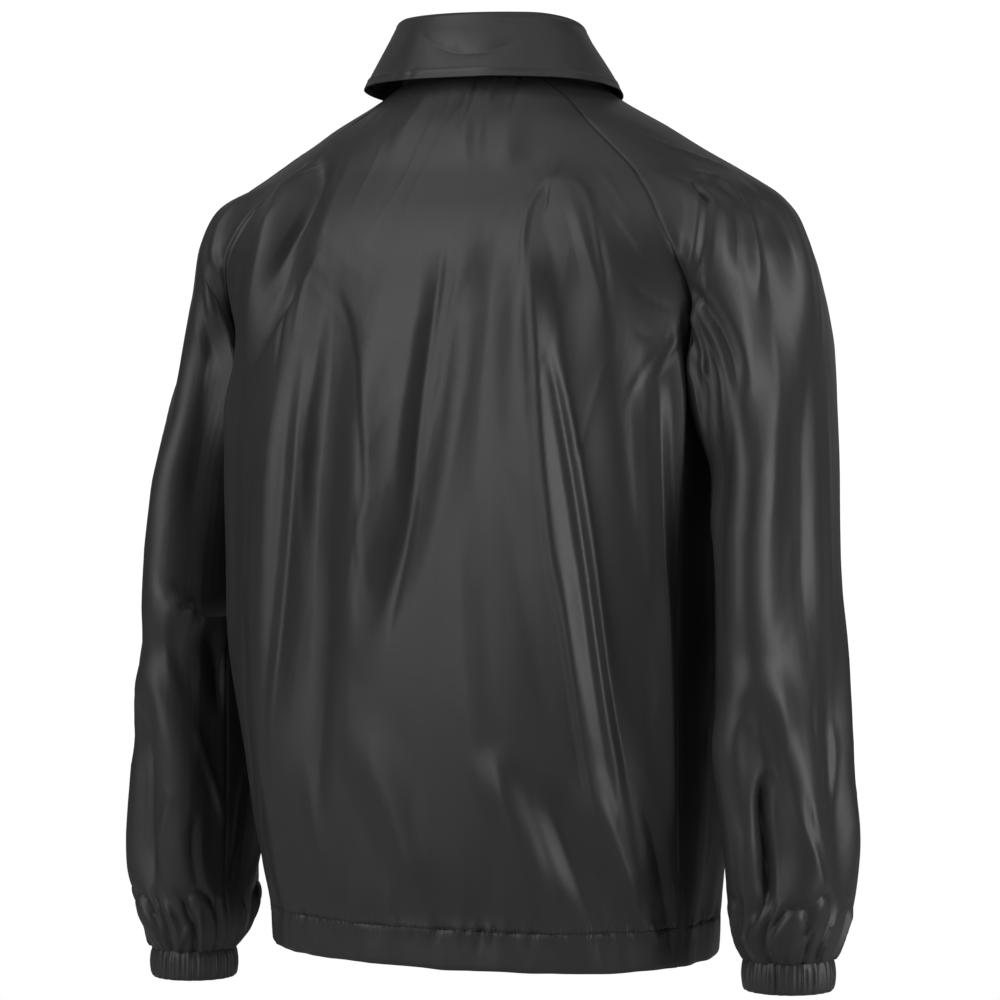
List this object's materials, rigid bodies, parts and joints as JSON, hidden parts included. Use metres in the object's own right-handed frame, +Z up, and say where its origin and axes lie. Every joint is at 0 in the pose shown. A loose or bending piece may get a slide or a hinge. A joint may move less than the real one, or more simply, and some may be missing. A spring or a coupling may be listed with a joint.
{
  "type": "coach jacket",
  "caption": "Raglan coach jacket of satin nylon with a fold-over collar, gathered cuffs and a hem casing, standing as worn with nobody in it.",
  "frame": {"origin": "between the wearer's shoulders, on the middle line, 8 mm below the back neck seam", "axes": "+Z up, -Y is the front of the jacket, +X is the wearer's left"},
  "size_m": [0.6452, 0.311, 0.8092],
  "materials": {
    "satin_nylon": "charcoal black nylon with a broad satin sheen",
    "snap_enamel": "smooth black enamel"
  },
  "bodies": {
    "root": {"back": "satin_nylon", "front_left": "satin_nylon", "front_right": "satin_nylon", "sleeve_left": "satin_nylon", "sleeve_right": "satin_nylon", "collar": "satin_nylon", "hem_back": "satin_nylon", "hem_front_left": "satin_nylon", "hem_front_right": "satin_nylon", "cuff_left": "satin_nylon", "cuff_right": "satin_nylon", "snap_1": "snap_enamel", "snap_2": "snap_enamel", "snap_3": "snap_enamel", "snap_4": "snap_enamel", "snap_5": "snap_enamel"}
  },
  "joints": []
}
